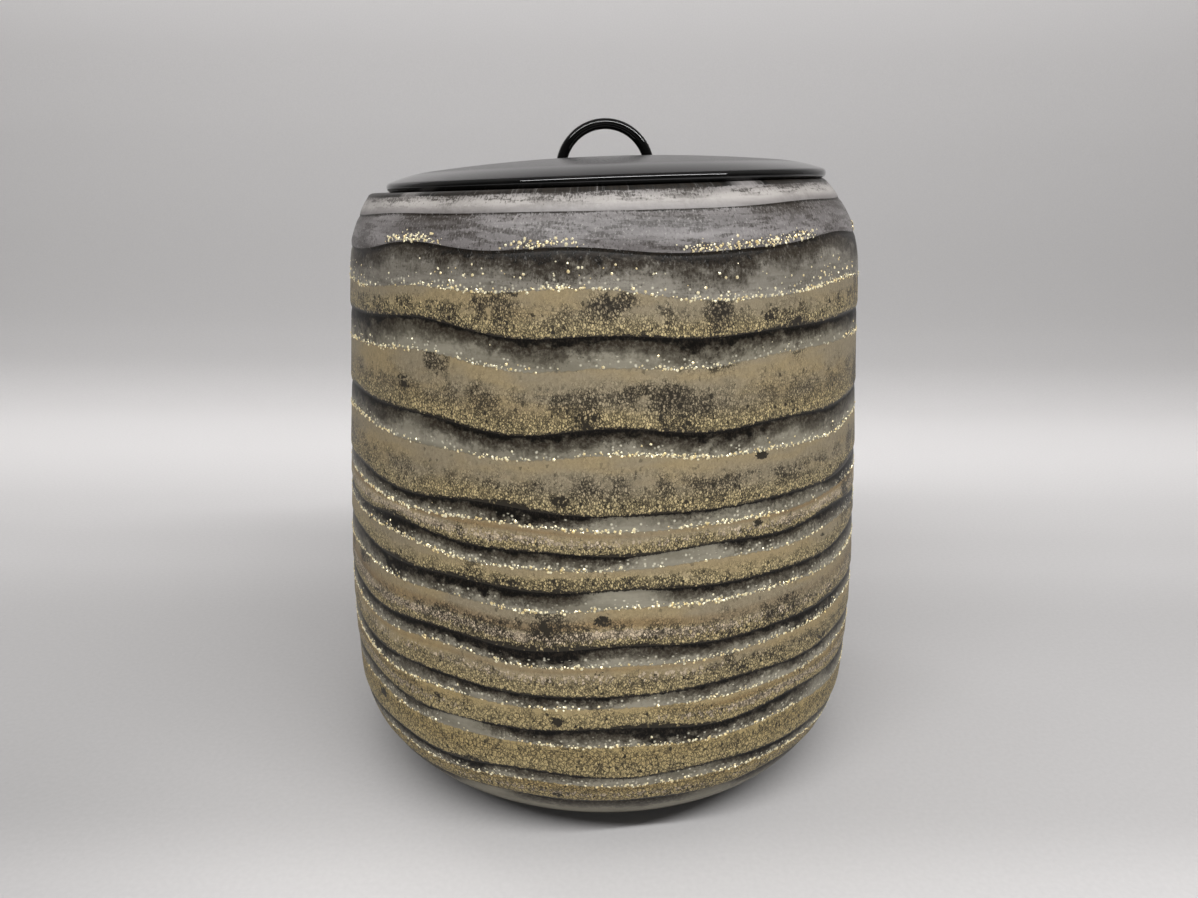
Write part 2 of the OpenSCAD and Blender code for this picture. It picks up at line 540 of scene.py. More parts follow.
@dataclass
class BandLayout:
    """The windings of the wall, from the rim down.

    Heights run along the outer wall, up from the foot's edge.
    """

    bands: tuple[Band, ...] = (
        # The collar's black line and haze under the rim are painted shade of the lid.
        Band(178.3, BandKind.COLLAR, line=0.25, lilac=1.0, specks=0.75),
        Band(168.5, BandKind.VEIL, line=0.35, lilac=1.0, specks=0.6),
        Band(149.5, line=2.2, grey=0.5, cover=0.78, scatter=0.7, lilac=0.35, specks=0.3),
        Band(127.5, line=2.1, grey=0.28, cover=0.83, scatter=0.35),
        Band(108.0, line=2.0, grey=0.3, cover=0.82, scatter=0.15),
        Band(98.5, line=1.0, grey=0.34, cover=0.84, pale=0.9, pale_at=0.3),
        Band(88.5, line=1.5, grey=0.32, cover=0.82, scatter=0.05),
        Band(73.5, line=1.2, grey=0.3, cover=0.8, pale=1.0, pale_at=0.24, scatter=0.12),
        Band(61.0, line=1.5, grey=0.28, cover=0.82, pale=0.5, pale_at=0.4),
        Band(50.5, line=1.0, grey=0.33, cover=0.84, pale=1.0, pale_at=0.3),
        Band(37.0, line=1.3, grey=0.27, cover=0.8),
        Band(27.0, line=1.0, grey=0.3, cover=0.8, pale=0.6, pale_at=0.35),
        Band(0.0, BandKind.BARE, line=1.1),
    )
    girth_r: float = 73.0
    rim_lean: float = 3.2
    sway: float = 2.6
    own_sway: float = 1.15
    collar_calm: float = 0.3
    pool_depth: float = 3.0
    pools_per_edge: int = 4
    spots: int = 90
    dull_side: float = 3.82
    dull_width: float = 0.5
    no_leaf: float = 99.0
    seed: int = 11

    def edge_lines(self, angle: Array) -> list[Array]:
        """Gives the height of every edge between two bands round the jar, from the top one down."""
        chance = np.random.default_rng(self.seed)
        phases = chance.uniform(0, FULL_TURN, 4)
        turns = chance.uniform(0.1, 0.35, 4)
        lines = []
        for place, band in enumerate(self.bands[:-1]):
            waves = [np.sin((i + 1) * angle + phases[i] + turns[i] * place) / (i + 1.4) for i in range(4)]
            own = wander(angle, (3, 5, 8, 11), chance)
            calm = self.collar_calm if band.kind is BandKind.COLLAR else 1.0
            lean = self.rim_lean * np.sin(angle) * float(smoothstep(np.array(band.bottom), 140.0, 180.0))
            lines.append(band.bottom + lean + calm * (self.sway * sum(waves) + self.own_sway * own))
        return lines

    def pools(self, angle: Array, place: int) -> Array:
        """Gives how deep black glass has pooled along the upper edge of a band, from 0 to 1."""
        depth = np.zeros_like(angle)
        if place >= len(self.bands) or self.bands[place].kind is not BandKind.LEAF:
            return depth
        chance = np.random.default_rng(self.seed + 100 + place)
        for _ in range(self.pools_per_edge):
            centre = chance.uniform(0, FULL_TURN)
            half = chance.uniform(4.0, 12.0) / self.girth_r
            depth = np.maximum(depth, chance.uniform(0.3, 1.0) * bell(turn_from(angle, centre), half))
        return depth

    def bare_spots(self, angle: Array, height: Array) -> Array:
        """Gives how much leaf is missing at points of the wall, from 0 to 1."""
        chance = np.random.default_rng(self.seed + 500)
        missing = np.zeros_like(height)
        for count in range(self.spots):
            centre = chance.uniform(0, FULL_TURN)
            if count % 3 == 0:
                centre = self.dull_side + chance.normal(0.0, self.dull_width)
            level = 45.0 + 115.0 * chance.uniform() ** 0.6
            wide, tall = chance.uniform(1.5, 8.0), chance.uniform(1.8, 6.0)
            strength = chance.uniform(0.2, 0.56)
            lean = chance.uniform(-0.15, 0.15)
            away = turn_from(angle, centre) * self.girth_r
            spot = strength * bell(away, wide) * bell(height - level - lean * away, tall)
            missing = np.maximum(missing, spot)
        return missing

    def marks(self, place: int, angle: Array, top: Array, bottom: Array, height: Array) -> Marks:
        """Works out what the glass finish reads at one row of one band.

        Args:
            place: Number of the band, from the rim down.
            angle: Angles round the jar.
            top: Height of the band's upper edge.
            bottom: Height of its lower edge.
            height: Height of the row.

        Returns:
            Three values for every point, by the name of the mark.
        """
        band = self.bands[place]
        chance = np.random.default_rng(self.seed + 1000 + place)
        below, above, width = top - height, height - bottom, top - bottom
        uneven = np.clip(0.95 + 0.85 * wander(angle, (2, 3, 5, 9, 14), chance), 0.12, 3.0)
        line = band.line * uneven + self.pool_depth * self.pools(angle, place)
        reach = 0.3 * np.clip(1.6 - uneven, 0.4, 1.4) + 0.5 * self.pool_depth * self.pools(angle, place + 1)
        grey = width * band.grey * (1.0 + 0.2 * wander(angle, (1, 2, 5), chance)) + 0.8
        depth = np.clip((below - grey) / np.maximum(width - grey, 1.0), 0.0, 1.0)
        patchy = np.clip(0.5 + 0.5 * wander(angle, (1, 3, 4), chance), 0.0, 1.0)
        thinned = 0.03 + (1.0 - band.cover) * (0.4 + patchy) * smoothstep(depth, 0.06, 0.6)
        dull = 0.1 + 0.25 * smoothstep(height, 90.0, 150.0)
        thinned = thinned + dull * bell(turn_from(angle, self.dull_side), self.dull_width)
        cover = np.clip(1.0 - thinned - self.bare_spots(angle, height), 0.0, 1.0)
        shown = smoothstep(wander(angle, (1, 2, 3), chance), -0.9, 0.1)
        streak = max(0.085 * float(np.mean(width)), 1.0)
        off = above - band.pale_at * width
        pale = band.pale * shown * (bell(off, streak) - 0.75 * bell(off - 1.9 * streak, 0.8 * streak))
        lilac, specks = np.full_like(angle, band.lilac), np.full_like(angle, band.specks)
        if band.kind is BandKind.COLLAR:
            specks = specks * bell(below - 1.4, 1.7)
            # On the collar the pale band is a painted highlight: the lamp's sheen on the shoulder, painted
            # into the colour.
            pale = bell(above - 2.7, 1.8) * (0.75 + 0.25 * patchy)
        if band.kind is not BandKind.LEAF:
            grey, cover = np.full_like(angle, self.no_leaf), np.zeros_like(angle)
        marks = {
            "skin_mm": (self.girth_r * np.sin(angle), -self.girth_r * np.cos(angle), height),
            "band_mm": (below, above, grey),
            "leaf": (cover, line, reach),
            "glass": (lilac, specks, pale),
            "sparkle": (*self.sparkle(place, angle, below, above, grey), np.zeros_like(angle)),
        }
        return {name: np.column_stack(values) for name, values in marks.items()}

    def sparkle(self, place: int, angle: Array, below: Array, above: Array,
                grey: Array) -> tuple[Array, Array]:
        """Gives how many bright flecks lie on each square metre.

        Args:
            place: Number of the band.
            angle: Angles round the jar.
            below: Distance below the band's upper edge.
            above: Distance above its lower edge.
            grey: Width of its grey strip.

        Returns:
            For every point, the flecks strung along the upper edge of the leaf and those strewn about.
        """
        band = self.bands[place]
        chance = np.random.default_rng(self.seed + 2000 + place)
        crowd = np.clip(0.55 + 0.8 * wander(angle, (1, 3, 5, 9, 13), chance), 0.03, 1.6)
        strung, strewn = np.zeros_like(angle), np.zeros_like(angle)
        if band.kind is BandKind.LEAF:
            strung = 2.8 * crowd * smoothstep(np.abs(below - grey), 3.2, 2.2)
            reach = 0.6 + 3.2 * band.scatter
            strewn = (0.01 + 0.3 * band.scatter) * bell(below - grey + reach, reach)
            strewn = crowd * strewn * (below > 2.0) * (below < grey)
        elif band.kind is BandKind.VEIL:
            strewn = 3.4 * smoothstep(crowd, 0.55, 0.9) * bell(above - 0.9, 0.75)
        return strung / MM**2, strewn / MM**2

    def relief(self, place: int, below: Array, above: Array) -> Array:
        """Gives how far a winding stands proud of the smooth wall."""
        if self.bands[place].kind is BandKind.COLLAR:
            return -0.2 * bell(above, 0.8)
        lap = 0.3 * np.clip(1.0 - above / np.maximum(below + above, 1.0), 0.0, 1.0) - 0.18
        return lap - 0.26 * bell(above, 0.8) - 0.24 * bell(below, 1.2)


@dataclass(frozen=True)
class CloudyGlass:
    """Cloud and fine seed in grey glass, shared by every part of the jar's surface."""

    cloud_scale: float = 0.11
    seed_scale: float = 0.9
    drawn: Triple = (0.4, 0.4, 2.2)

    def group(self) -> bpy.types.NodeTree:
        """Builds the shared group.

        Returns:
            A group that takes a place in millimetres and two colours, and puts out a colour and a height.
        """
        inputs = {"Place": "Vector", "Body": "Color", "Cloud": "Color"}
        tree = new_group("cloudy_glass", "ShaderNodeTree", inputs, {"Color": "Color", "Height": "Float"})
        sheet = NodeSheet(tree)
        source = sheet.add("NodeGroupInput").outputs
        cloud = sheet.noise(source["Place"], self.cloud_scale, 4.0, 0.6, self.drawn)
        fine = sheet.noise(source["Place"], self.seed_scale, 3.0, 0.65)
        amount = sheet.smooth(cloud, 0.34, 0.68) + sheet.spread(fine, -0.35, 0.35)
        colour = sheet.mix(sheet.most(amount, 0.0), source["Body"], source["Cloud"])
        sheet.add("NodeGroupOutput", {"Color": colour, "Height": cloud + fine * 0.3})
        return tree


class WallSheet(SurfaceSheet):
    """Nodes of the wall's finish: what they read from the mesh, and the textures that roughen it."""

    def __init__(self, name: str) -> None:
        """Starts the material with nodes that read the mesh's marks, in millimetres."""
        super().__init__(name, {"IOR": GLASS_IOR})
        self.skin = self.mark("skin_mm")
        self.below, self.above, self.grey = self.parts(self.mark("band_mm"))
        self.cover, self.line, self.reach = self.parts(self.mark("leaf"))
        self.lilac, self.specks, self.pale = self.parts(self.mark("glass"))
        self.fine = self.noise(self.skin, 0.9, 3.0, 0.6) - 0.5
        self.blots = self.noise(self.skin, 1.15, 3.0, 0.65) - 0.5
        self.grit = self.noise(self.skin, 2.6, 1.0) - 0.5
        self.mottle = self.noise(self.skin, 0.2, 4.0, 0.6) - 0.5
        self.threads = self.noise(self.skin, 0.9, 3.0, 0.6, (1.0, 1.0, 0.1)) - 0.5
        height = self.parts(self.skin)[2]
        self.low = self.fade(height, 42.0, 78.0)
        # Mask of the painted shade on the heel: full below 12 mm up the wall, gone above 22 mm.
        self.heel = self.fade(height, 12.0, 22.0)


@dataclass(frozen=True)
class LeafGlass:
    """Matt grey glass under which gold leaf has broken into flakes."""

    grey: Colour = tint(119, 114, 100)
    grey_cloud: Colour = tint(143, 138, 123)
    lilac: Colour = tint(101, 97, 96)
    lilac_cloud: Colour = tint(133, 129, 128)
    # Colour of the collar's painted highlight, and also of the pale specks in the veil.
    painted_highlight_and_pale_speck: Colour = tint(186, 181, 176)
    black: Colour = tint(9, 8, 5)
    # Painted shade of the heel where it turns under towards the floor.
    heel_painted_shade: Colour = tint(36, 33, 23)
    umber: Colour = tint(42, 36, 30)
    soot: Colour = tint(47, 41, 33)
    tarnish: Colour = tint(112, 100, 85)
    under_leaf: Colour = tint(30, 25, 18)
    khaki: Colour = tint(139, 128, 106)
    ochre: Colour = tint(150, 134, 102)
    olive: Colour = tint(186, 163, 106)
    hem_gold: Colour = tint(198, 180, 132)
    rust: Colour = tint(126, 98, 62)
    # Colour of pale dots painted in as glints of gold just above the leaf.
    fleck: Colour = tint(222, 216, 194)
    pale: Colour = tint(184, 168, 144)
    grain_scale: float = 1.8
    grain_squash: float = 0.66
    flake_scale: float = 1.0
    flake_squash: float = 0.7
    dot_scale: float = 1.05
    hole_scale: float = 0.105
    roughness: float = 0.42

    def material(self, cloudy: bpy.types.NodeTree) -> bpy.types.Material:
        """Builds the finish of the outer wall, with the shared group of cloud in glass."""
        wall = WallSheet("leaf_glass")
        body = wall.mix(wall.lilac, self.grey, self.lilac)
        cloud = wall.mix(wall.lilac, self.grey_cloud, self.lilac_cloud)
        inputs = {"Place": wall.skin, "Body": body, "Cloud": cloud}
        colour, height = wall.add("ShaderNodeGroup", inputs, node_tree=cloudy).outputs
        # Painted highlight: the collar's pale band is mixed towards a light colour.
        ground = wall.mix(wall.most(wall.pale * wall.lilac * 0.95, 0.0), colour, self.painted_highlight_and_pale_speck)
        ground = self.dotted(wall, self.specked(wall, self.lined(wall, ground)))
        # Painted shade: the heel darkens towards the floor.
        ground = wall.mix(wall.heel * 0.9, ground, self.heel_painted_shade)
        present, leaf, gold = self.leaf(wall)
        ground = wall.mix(present * 0.92, ground, self.under_leaf)
        wall.show("Base Color", wall.mix(leaf, ground, gold))
        wall.show("Roughness", wall.fine * 0.12 + wall.spread(leaf, self.roughness, self.roughness + 0.08))
        wall.show("Specular IOR Level", wall.spread(wall.lilac, 0.13, 0.32))
        wall.emboss(leaf * 0.6 + Value(wall, height) * 0.8, 0.6, 0.14)
        return wall.material

    def lined(self, wall: WallSheet, ground: Socket) -> Socket:
        """Draws the black line along each band's upper edge, with the dark haze that hangs from it; on the
        collar they are painted shade under the lid.
        """
        blot = (wall.noise(wall.skin, 0.45, 4.0, 0.62, (0.7, 0.7, 1.0)) - 0.5) * wall.line
        frayed = wall.below + blot * 3.2 + wall.fine * 0.9
        far = (wall.line * 1.1 + wall.least(wall.grey, 8.0) * 0.66) * (wall.mottle * 1.7 + 1.0)
        rough = frayed + wall.fine * 3.0 + wall.blots * 6.0
        haze = wall.fade(rough, far * 0.3, wall.most(far, 0.8)) * (wall.blots * 1.6 + 0.92)
        haze = haze * wall.smooth(wall.line, 0.0, 0.9)
        ground = wall.mix(wall.most(haze, 0.0), ground, self.soot)
        edge = wall.fade(frayed + wall.grit * 0.7, wall.line * 0.45, wall.line + 0.15)
        return wall.mix(edge * wall.smooth(wall.line, 0.0, 0.12), ground, self.black)

    def specked(self, wall: WallSheet, ground: Socket) -> Socket:
        """Sows fine dark and pale specks where the glass is veiled or lies under a black line."""
        drawn = wall.noise(wall.skin, 1.9, 4.0, 0.7, (1.0, 1.0, 0.65))
        smear = wall.smooth(wall.noise(wall.skin, 0.42, 4.0, 0.65, (0.28, 0.28, 1.6)), 0.45, 0.6)
        stain = wall.smooth((drawn - 0.5) * 1.5 + smear, 0.3, 1.0) * wall.specks
        ground = wall.mix(stain * 0.75, ground, self.umber)
        shadow = wall.fade(wall.below, 0.0, wall.line * 3.5 + 1.0) * wall.smooth(wall.line, 0.0, 0.3)
        patch = wall.most(wall.smooth(wall.mottle, -0.1, 0.14) * 0.6, smear)
        crowd = shadow * 0.7 + wall.specks * wall.spread(patch, 0.35, 1.2)
        low = 0.62 - crowd * 0.2
        speck = wall.smooth(drawn, low, low + 0.13) * wall.smooth(crowd, 0.0, 0.4)
        ground = wall.mix(speck * 0.75, ground, self.umber)
        bright = wall.fade(drawn, 0.33, 0.43) * wall.specks
        return wall.mix(bright * 0.6, ground, self.painted_highlight_and_pale_speck)

    def dotted(self, wall: WallSheet, ground: Socket) -> Socket:
        """Scatters soft pale dots just above the leaf: painted highlights standing in for glints of gold."""
        away, colour = wall.cells(wall.skin, self.dot_scale)
        share = wall.fade(abs(wall.below - wall.grey + 0.7), 0.2, 2.4) * 0.55
        picked = wall.math("LESS_THAN", wall.shares(colour)[0], share)
        return wall.mix(picked * wall.fade(away, 0.1, 0.45) * 0.7, ground, self.fleck)

    def grains(self, wall: WallSheet) -> tuple[Value, Value, Value, Value]:
        """Cuts the leaf into upright sandy grains, and into coarser flakes towards the foot.

        Args:
            wall: The material's nodes.

        Returns:
            The distance from a crack in millimetres, and three chances that are each grain's own.
        """
        swirl = wall.add("ShaderNodeTexNoise", {"Vector": wall.skin, "Scale": 2.0, "Detail": 2.0})
        shift = wall.vector("SUBTRACT", swirl.outputs["Color"], (0.5, 0.5, 0.5))
        places, cracks = [], []
        for scale, squash in ((self.grain_scale, self.grain_squash), (self.flake_scale, self.flake_squash)):
            place = wall.vector("MULTIPLY", wall.skin, (1.0, 1.0, squash))
            places.append(wall.vector("MULTIPLY_ADD", shift, (0.7, 0.7, 0.7), place))
            cracks.append(wall.cracks(places[-1], scale))
        flakes = wall.least(cracks[1], cracks[0] * 2.6)
        _, colour = wall.cells(places[0], self.grain_scale)
        return wall.spread(wall.low, cracks[0], flakes), *wall.shares(colour)

    def holes(self, wall: WallSheet) -> Value:
        """Burns small ragged holes through the leaf, and gives where they are."""
        place = wall.vector("MULTIPLY", wall.skin, (1.0, 1.0, 1.4))
        away, colour = wall.cells(place, self.hole_scale)
        size = wall.spread(wall.shares(colour)[0], -4.2, 2.3)
        return wall.fade(away / self.hole_scale + wall.blots * 3.4, size - 0.5, size + 0.3)

    def leaf(self, wall: WallSheet) -> tuple[Value, Value, Socket]:
        """Breaks the leaf into grains that thin out towards the band's lower edge.

        Args:
            wall: The material's nodes.

        Returns:
            Where leaf was laid, where a grain of it lies, and the colour of that grain.
        """
        into = wall.below - wall.grey + wall.fine * 1.5
        present = wall.smooth(into, -0.15, 0.3)
        hem = wall.above + wall.threads * 1.2 + wall.fine * 1.4
        held = wall.smooth(hem, wall.reach * 0.6, wall.reach * 1.3 + 0.35)
        thin = 1.0 - wall.cover * held
        thin = thin + wall.mottle * wall.smooth(thin, 0.05, 0.4) * 2.2
        thin = wall.most(wall.least(thin, 0.74), wall.most(1.0 - held, self.holes(wall)))
        deep = into / wall.most(into + wall.above, 1.0) + wall.mottle * 1.2 + wall.low * 0.5
        cracked = wall.most(wall.smooth(deep, 0.15, 0.75) * 0.85, wall.pale * 0.7)
        broken = wall.most(wall.smooth(thin + wall.fine * 0.2, 0.02, 0.3), cracked)
        edge, chance, tone, pick = self.grains(wall)
        lost = wall.most(thin * 1.5 - 0.6, broken * 0.05)
        whole = wall.smooth(chance, lost - 0.04, lost + 0.04)
        split = wall.smooth(edge, 0.0, broken * 0.19 + 0.005)
        leaf = present * whole * wall.spread(split, 0.65 - broken * 0.65, 1.0)
        return present, leaf, self.gold(wall, thin, broken, tone, pick)

    def gold(self, wall: WallSheet, thin: Value, broken: Value, tone: Value, pick: Value) -> Socket:
        """Gives the colour of the leaf.

        Args:
            wall: The material's nodes.
            thin: How much of the leaf is missing.
            broken: How far it has broken into grains.
            tone: Each grain's own chance of being light.
            pick: Its own chance of being pale.

        Returns:
            The colour.
        """
        warm = wall.noise(wall.skin, 0.06, 3.0, stretch=(0.6, 0.6, 2.0))
        gold = wall.mix(wall.smooth(warm, 0.4, 0.65), self.khaki, self.ochre)
        layers = (
            (wall.low * 0.6, self.olive),
            (wall.fade(wall.above, 0.5, 7.0) * broken * 0.8, self.hem_gold),
            (wall.smooth(thin, 0.2, 0.6) * 0.4, self.tarnish),
            (wall.most(wall.pale * -1.0, 0.0), self.rust),
            (wall.smooth(wall.pale * 1.3 - pick, -0.05, 0.2), self.pale),
        )
        for amount, colour in layers:
            gold = wall.mix(amount, gold, colour)
        lift = (broken * 0.85 + 0.15) * wall.spread(wall.low, 1.0, 0.45)
        level = (tone - 0.42) * lift + 1.0 + wall.grit * 0.3
        return wall.mix(1.0, gold, wall.shade(level), "MULTIPLY")


@dataclass(frozen=True)
class SmokyGlass:
    """Bare glass: the polished inside, or the ground foot."""

    name: str
    body: Colour
    cloud: Colour
    roughness: float
    grind: float

    def material(self, cloudy: bpy.types.NodeTree) -> bpy.types.Material:
        """Builds the finish, with the shared group of cloud in glass."""
        sheet = SurfaceSheet(self.name, {"IOR": GLASS_IOR})
        place = sheet.object_mm()
        inputs = {"Place": place, "Body": self.body, "Cloud": self.cloud}
        colour, height = sheet.add("ShaderNodeGroup", inputs, node_tree=cloudy).outputs
        grain = sheet.noise(place, 3.0, 3.0, 0.7)
        sheet.show("Base Color", colour)
        sheet.show("Roughness", sheet.spread(grain, self.roughness - 0.05, self.roughness + 0.05))
        sheet.emboss(grain * self.grind + Value(sheet, height), 0.3, 0.08)
        return sheet.material


@dataclass(frozen=True)
class FleckGold:
    """Bright torn flecks of real gold at the upper edge of the leaf, their colour whitened into painted
    glints.
    """

    # Near-white gold: painted highlights of glints, given as the flecks' colour.
    light: Colour = tint(252, 243, 208)
    deep: Colour = tint(236, 210, 146)
    metallic: float = 0.35
    roughness: float = 0.22

    def material(self) -> bpy.types.Material:
        """Builds the finish of the flecks."""
        sheet = SurfaceSheet("fleck_gold", {"Metallic": self.metallic, "IOR": GLASS_IOR})
        mottle = sheet.noise(sheet.object_mm(), 0.8)
        sheet.show("Base Color", sheet.mix(sheet.smooth(mottle, 0.4, 0.7), self.light, self.deep))
        sheet.show("Roughness", sheet.spread(mottle, self.roughness, self.roughness + 0.12))
        return sheet.material


@dataclass(frozen=True)
class BlackLacquer:
    """Deep black lacquer, polished, with the faint wave of a brushed coat."""

    black: Colour = tint(8, 8, 8)
    worn: Colour = tint(16, 15, 14)
    roughness: float = 0.05
    satin: float = 0.19
    dust: float = 0.12

    def material(self) -> bpy.types.Material:
        """Builds the finish of the lid and its handle, duller where the crown is wiped."""
        sheet = SurfaceSheet("black_lacquer", {"IOR": GLASS_IOR})
        place = sheet.object_mm()
        wave = sheet.noise(place, 0.12, 3.0, stretch=(1.0, 0.4, 1.0))
        sheet.show("Base Color", sheet.mix(sheet.smooth(wave, 0.45, 0.75), self.black, self.worn))
        polish = sheet.spread(sheet.noise(place, 0.5, 3.0), self.roughness - 0.02, self.roughness + 0.03)
        flat = sheet.vector("MULTIPLY", place, (1.0, 1.0, 0.0))
        out = sheet.add("ShaderNodeVectorMath", {0: flat}, operation="LENGTH").outputs["Value"]
        wiped = sheet.smooth(out, 15.0, 19.0) - sheet.smooth(out, 50.0, 57.0)
        speck = sheet.fade(sheet.cells(place, 0.32)[0], 0.02, 0.05)
        sheet.show("Roughness", polish + wiped * self.satin + speck * self.dust)
        sheet.emboss(wave, 0.06, 0.2)
        return sheet.material


class GlassZone(Enum):
    """Parts of the jar's surface, by the place of their finish on the mesh."""

    WALL = 0
    INSIDE = 1
    FOOT = 2


@dataclass
class GlassJar:
    """The blown jar with its bands of gold leaf."""

    profile: BlownProfile
    rim: RimFrame
    bands: BandLayout
    columns: int = 300
    row_gap: float = 1.15
    inner_rows: int = 64
    lip_w: float = 7.2
    lip_round: float = 1.5
    rim_round: float = 2.5
    hollow_d: float = 62.0
    hollow_depth: float = 1.5
    swell: float = 0.16
    fleck_small: float = 0.15
    fleck_large: float = 0.5
    fleck_lean_deg: float = 24.0
    fleck_seed: int = 5

    def build(self) -> None:
        """Builds the jar and its flecks, and hands them to the jar's body."""
        cloudy = CloudyGlass().group()
        inside = SmokyGlass("inner_glass", tint(70, 66, 58), tint(112, 106, 92), 0.2, 0.0)
        foot = SmokyGlass("foot_glass", tint(97, 93, 79), tint(118, 114, 101), 0.5, 0.8)
        jar = new_piece("glass_jar", self.mesh())
        for finish in (LeafGlass(), inside, foot):
            jar.data.materials.append(finish.material(cloudy))
        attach(jar, "jar")
        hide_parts("jar")
        LOG.info("glass_jar: %d faces in %d bands", len(jar.data.polygons), len(self.bands.bands))

        flecks = new_piece("gold_flecks", jar.data.copy())
        values = {
            "Seed": self.fleck_seed,
            "Smallest": self.fleck_small * MM,
            "Largest": self.fleck_large * MM,
            "Lean": math.radians(self.fleck_lean_deg),
            "Material": FleckGold().material(),
        }
        self.fleck_tree().run(flecks, values)
        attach(flecks, "jar")
        LOG.info("gold_flecks: %d faces", len(flecks.data.polygons))

    def mesh(self) -> bpy.types.Mesh:
        """Builds the jar's whole surface, from the floor's middle over the lip to the foot's middle.

        Returns:
            The closed mesh, with the marks that the glass finish reads at its corners.
        """
        turn = np.arange(self.columns) * FULL_TURN / self.columns
        ring = np.column_stack([np.sin(turn), -np.cos(turn), np.zeros_like(turn)])
        edge = self.rim.place(self.profile.rim_d / 2 * ring)
        angle = np.arctan2(edge[:, 0], -edge[:, 1])
        lip = self.lip_rings(ring)
        inner = self.inner_rings(lip[0])
        outer, strips = self.outer_rings(angle)
        foot = self.foot_rings(angle)
        zones = [
            *[GlassZone.INSIDE] * len(inner),
            *[GlassZone.WALL] * (len(lip) + len(strips)),
            *[GlassZone.FOOT] * len(foot),
        ]
        at_lip = strips[0][0]
        marks = [({}, {})] * len(inner) + [(at_lip, at_lip)] * len(lip) + strips + [({}, {})] * len(foot)
        return self.skin([*inner, *lip, *outer, *foot], zones, marks)

    @staticmethod
    def around(section: Array, angle: Array) -> Array:
        """Turns points of radius and height, one for each angle, into points in space."""
        radius, height = section[..., 0], section[..., 1]
        return np.column_stack([radius * np.sin(angle), -radius * np.cos(angle), height + 0.0 * angle])

    def inner_rings(self, mouth: Array) -> list[Array]:
        """Gives the rings of the inside, from the floor up to the ring at the mouth, without that one."""
        section = self.profile.inner
        along = lengths(section)
        angle = np.arctan2(mouth[:, 0], -mouth[:, 1])
        upper = along > along[-1] / 2
        end = np.interp(-np.hypot(mouth[:, 0], mouth[:, 1]), -section[upper, 0], along[upper])
        floor = [np.array([share * section[0, 0], self.profile.floor_t]) for share in (0.35, 0.7)]
        shares = np.linspace(0.0, 1.0, self.inner_rows)[:-1]
        rows = [along_line(share * end, along, section) for share in shares]
        return [self.around(points, angle) for points in (*floor, *rows)]

    def lip_rings(self, ring: Array) -> list[Array]:
        """Gives the rings of the ground lip, from the mouth to the outer edge.

        Args:
            ring: Points of a circle of radius 1 in the rim's own frame.

        Returns:
            The rings, the first of which lies on the inside of the wall.
        """
        outer, fall = self.profile.rim_d / 2, self.profile.rim_fall
        inner_c = np.array([outer - self.lip_w + self.lip_round, -self.lip_round])
        outer_c = np.array([outer - self.rim_round * math.tan(fall / 2), -self.rim_round])
        lift = np.array([0.0, 0.0, 1.0])
        bore = arc_points(inner_c, self.lip_round, math.pi, RIGHT_ANGLE, 0.1)
        tried = np.array([self.rim.place(radius * ring + height * lift) for radius, height in bore])
        inside = self.profile.inner[len(self.profile.inner) // 2 :]
        wall_z = np.interp(-np.hypot(tried[..., 0], tried[..., 1]), -inside[:, 0], inside[:, 1])
        first = np.argmax(tried[..., 2] >= wall_z, axis=0)
        start = np.linspace(math.pi, RIGHT_ANGLE, len(bore))[first]
        steps = []
        for share in np.linspace(0.0, 1.0, 5):
            turn = (start + share * (RIGHT_ANGLE - start))[:, None]
            steps.append((inner_c[0] + self.lip_round * np.cos(turn), self.lip_round * (np.sin(turn) - 1.0)))
        steps += list(arc_points(outer_c, self.rim_round, RIGHT_ANGLE, RIGHT_ANGLE - fall, 0.5)[:-1])
        return [self.rim.place(radius * ring + height * lift) for radius, height in steps]

    def outer_rings(self, angle: Array) -> tuple[list[Array], list[tuple[Marks, Marks]]]:
        """Gives the rings of the outer wall, from the lip down to the foot, and the marks of each strip.

        Args:
            angle: Angles of the columns.

        Returns:
            The rings, and for each strip between two of them the marks along its upper and its lower side.
        """
        section = self.profile.outer
        along = lengths(section)
        drop = -self.rim_round * (1.0 - math.cos(self.profile.rim_fall))
        lip = []
        for turn in angle:
            column = np.column_stack([section[:, 0] * math.sin(turn), 0 * along, section[:, 1]])
            lip.append(np.interp(drop, self.rim.above(column), along))
        lines = [np.array(lip), *self.bands.edge_lines(angle), np.zeros_like(angle)]
        slow = np.random.default_rng(self.bands.seed + 7)
        waves = [wander(angle, (2, 3, 5, 6), slow) for _ in range(9)]

        rings: list[Array] = []
        strips: list[tuple[Marks, Marks]] = []
        for place, (top, bottom) in enumerate(zip(lines, lines[1:])):
            rows = max(6, round(float(np.mean(top - bottom)) / self.row_gap) + 4)
            share = np.linspace(0.0, 1.0, rows + 1)
            share = share - 0.09 * np.sin(FULL_TURN * share)
            levels = [top + (bottom - top) * part for part in share]
            marks = [self.bands.marks(place, angle, top, bottom, at) for at in levels]
            strips += zip(marks, marks[1:])
            for at in levels[min(place, 1) :]:
                proud = self.swell_at(at, along[-1], waves) + self.bands.relief(place, top - at, at - bottom)
                rings.append(self.outer_ring(angle, at, proud))
        return rings, strips

    def swell_at(self, at: Array, end: float, waves: list[Array]) -> Array:
        """Gives the slow swell of the blown wall at one row.

        Args:
            at: Height of the row along the wall.
            end: Height of the wall's end.
            waves: The swell at even steps, from the foot up.

        Returns:
            How far the wall stands out.
        """
        level = float(np.mean(at)) / float(end) * (len(waves) - 1)
        low = min(int(level), len(waves) - 2)
        return self.swell * (waves[low] * (low + 1 - level) + waves[low + 1] * (level - low))

